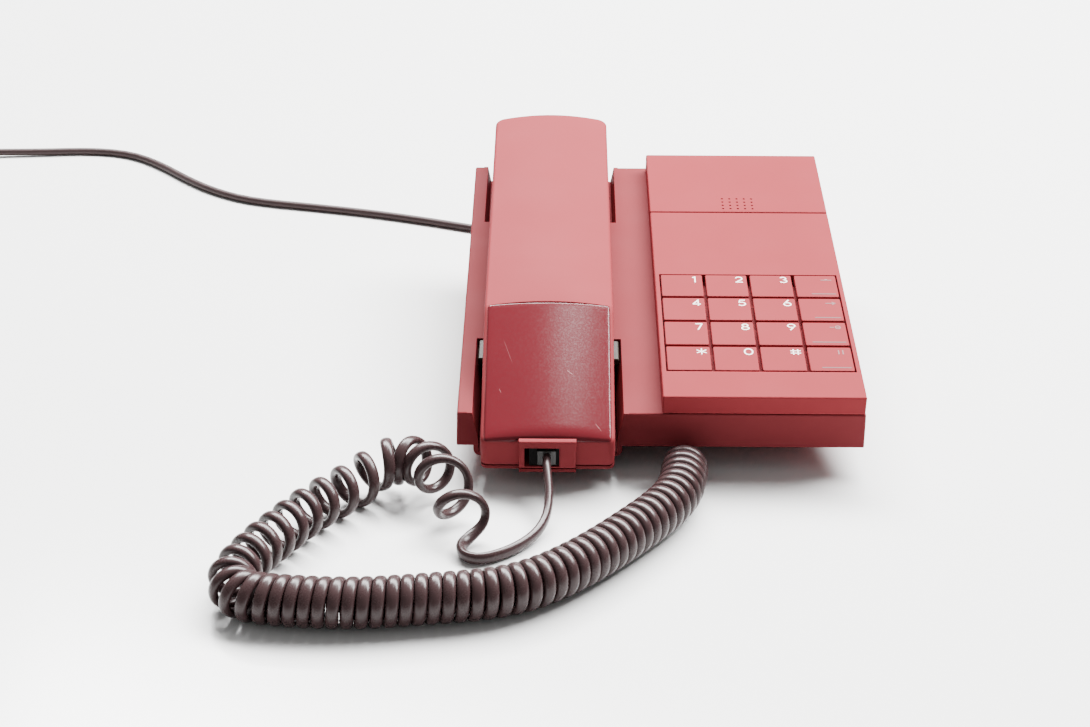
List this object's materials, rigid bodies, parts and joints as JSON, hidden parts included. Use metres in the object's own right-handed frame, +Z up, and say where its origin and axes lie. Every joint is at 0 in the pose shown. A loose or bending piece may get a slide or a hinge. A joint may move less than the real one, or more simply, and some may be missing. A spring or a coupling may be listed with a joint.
{
  "type": "push-button desk telephone",
  "caption": "Flat push-button desk telephone with a handset lying in two wells along its left side, a curly handset cord and a line cord.",
  "frame": {"origin": "on the table under the middle of the telephone's box, cords not counted", "axes": "+Z up, +X to the telephone's right as its user faces it, +Y away from the user"},
  "size_m": [0.5173, 0.4871, 0.0797],
  "materials": {
    "housing_plastic": "fine moulded grain, satin",
    "panel_plastic": "fine moulded grain, satin",
    "handset_plastic": "fine moulded grain, satin",
    "key_plastic": "fine moulded grain, satin, with printed marks",
    "underside_plastic": "plain moulded",
    "flap_plastic": "smooth moulded, grey beige",
    "board": "lacquered",
    "mat_rubber": "soft matt",
    "ringer_metal": "plain",
    "capsule_plastic": "plain",
    "microphone_metal": "plain",
    "steel": "zinc plated",
    "dark_plastic": "plain moulded",
    "plug_plastic": "smoky clear moulded",
    "foot_rubber": "soft matt",
    "cord_rubber": "satin extruded sheath",
    "tie_rubber": "soft matt"
  },
  "bodies": {
    "base": {"base_housing": "housing_plastic", "base_plate": "underside_plastic", "main_board": "board", "keypad_panel": "panel_plastic", "key_mat": "mat_rubber", "keypad_board": "board", "ringer_cover": "panel_plastic", "ringer": "ringer_metal", "base_screws": "steel", "desk_stand": "underside_plastic", "rubber_feet": "foot_rubber", "base_cord_socket": "dark_plastic", "base_cord_plug": "plug_plastic", "hook_switch": "dark_plastic", "hook_spring": "steel", "line_cord_gland": "cord_rubber", "cord_tie": "tie_rubber", "handset_cord_curls": "cord_rubber", "line_cord": "cord_rubber", "line_cord_coil": "cord_rubber", "line_plug": "plug_plastic"},
    "handset": {"handset_upper_shell": "handset_plastic", "handset_lower_shell": "handset_plastic", "mouth_cover": "handset_plastic", "receiver_capsule": "capsule_plastic", "microphone": "microphone_metal", "handset_weight": "steel", "handset_screws": "steel", "handset_jack": "dark_plastic", "handset_plug": "plug_plastic", "handset_cord_tail": "cord_rubber"},
    "hook_flap": {"hook_flap": "flap_plastic"},
    "key_star": {"key_star": "key_plastic"},
    "key_0": {"key_0": "key_plastic"},
    "key_hash": {"key_hash": "key_plastic"},
    "key_redial": {"key_redial": "key_plastic"},
    "key_7": {"key_7": "key_plastic"},
    "key_8": {"key_8": "key_plastic"},
    "key_9": {"key_9": "key_plastic"},
    "key_mute": {"key_mute": "key_plastic"},
    "key_4": {"key_4": "key_plastic"},
    "key_5": {"key_5": "key_plastic"},
    "key_6": {"key_6": "key_plastic"},
    "key_store": {"key_store": "key_plastic"},
    "key_1": {"key_1": "key_plastic"},
    "key_2": {"key_2": "key_plastic"},
    "key_3": {"key_3": "key_plastic"},
    "key_flash": {"key_flash": "key_plastic"}
  },
  "joints": [
    {"name": "handset_lift", "type": "slide", "parent": "base", "child": "handset", "axis": [0, -0.1392, 0.9903], "range_m": [0, 0.045]},
    {"name": "hook_rise", "type": "slide", "parent": "base", "child": "hook_flap", "axis": [0, -0.1392, 0.9903], "range_m": [0, 0.004]},
    {"name": "key_star_press", "type": "slide", "parent": "base", "child": "key_star", "axis": [0, 0.1392, -0.9903], "range_m": [0, 0.0015], "stiffness_N_per_m": 350},
    {"name": "key_0_press", "type": "slide", "parent": "base", "child": "key_0", "axis": [0, 0.1392, -0.9903], "range_m": [0, 0.0015], "stiffness_N_per_m": 350},
    {"name": "key_hash_press", "type": "slide", "parent": "base", "child": "key_hash", "axis": [0, 0.1392, -0.9903], "range_m": [0, 0.0015], "stiffness_N_per_m": 350},
    {"name": "key_redial_press", "type": "slide", "parent": "base", "child": "key_redial", "axis": [0, 0.1392, -0.9903], "range_m": [0, 0.0015], "stiffness_N_per_m": 350},
    {"name": "key_7_press", "type": "slide", "parent": "base", "child": "key_7", "axis": [0, 0.1392, -0.9903], "range_m": [0, 0.0015], "stiffness_N_per_m": 350},
    {"name": "key_8_press", "type": "slide", "parent": "base", "child": "key_8", "axis": [0, 0.1392, -0.9903], "range_m": [0, 0.0015], "stiffness_N_per_m": 350},
    {"name": "key_9_press", "type": "slide", "parent": "base", "child": "key_9", "axis": [0, 0.1392, -0.9903], "range_m": [0, 0.0015], "stiffness_N_per_m": 350},
    {"name": "key_mute_press", "type": "slide", "parent": "base", "child": "key_mute", "axis": [0, 0.1392, -0.9903], "range_m": [0, 0.0015], "stiffness_N_per_m": 350},
    {"name": "key_4_press", "type": "slide", "parent": "base", "child": "key_4", "axis": [0, 0.1392, -0.9903], "range_m": [0, 0.0015], "stiffness_N_per_m": 350},
    {"name": "key_5_press", "type": "slide", "parent": "base", "child": "key_5", "axis": [0, 0.1392, -0.9903], "range_m": [0, 0.0015], "stiffness_N_per_m": 350},
    {"name": "key_6_press", "type": "slide", "parent": "base", "child": "key_6", "axis": [0, 0.1392, -0.9903], "range_m": [0, 0.0015], "stiffness_N_per_m": 350},
    {"name": "key_store_press", "type": "slide", "parent": "base", "child": "key_store", "axis": [0, 0.1392, -0.9903], "range_m": [0, 0.0015], "stiffness_N_per_m": 350},
    {"name": "key_1_press", "type": "slide", "parent": "base", "child": "key_1", "axis": [0, 0.1392, -0.9903], "range_m": [0, 0.0015], "stiffness_N_per_m": 350},
    {"name": "key_2_press", "type": "slide", "parent": "base", "child": "key_2", "axis": [0, 0.1392, -0.9903], "range_m": [0, 0.0015], "stiffness_N_per_m": 350},
    {"name": "key_3_press", "type": "slide", "parent": "base", "child": "key_3", "axis": [0, 0.1392, -0.9903], "range_m": [0, 0.0015], "stiffness_N_per_m": 350},
    {"name": "key_flash_press", "type": "slide", "parent": "base", "child": "key_flash", "axis": [0, 0.1392, -0.9903], "range_m": [0, 0.0015], "stiffness_N_per_m": 350}
  ],
  "couplings": [
    {"joint": "hook_rise", "follows": "handset_lift", "ratio": 0.08888}
  ]
}
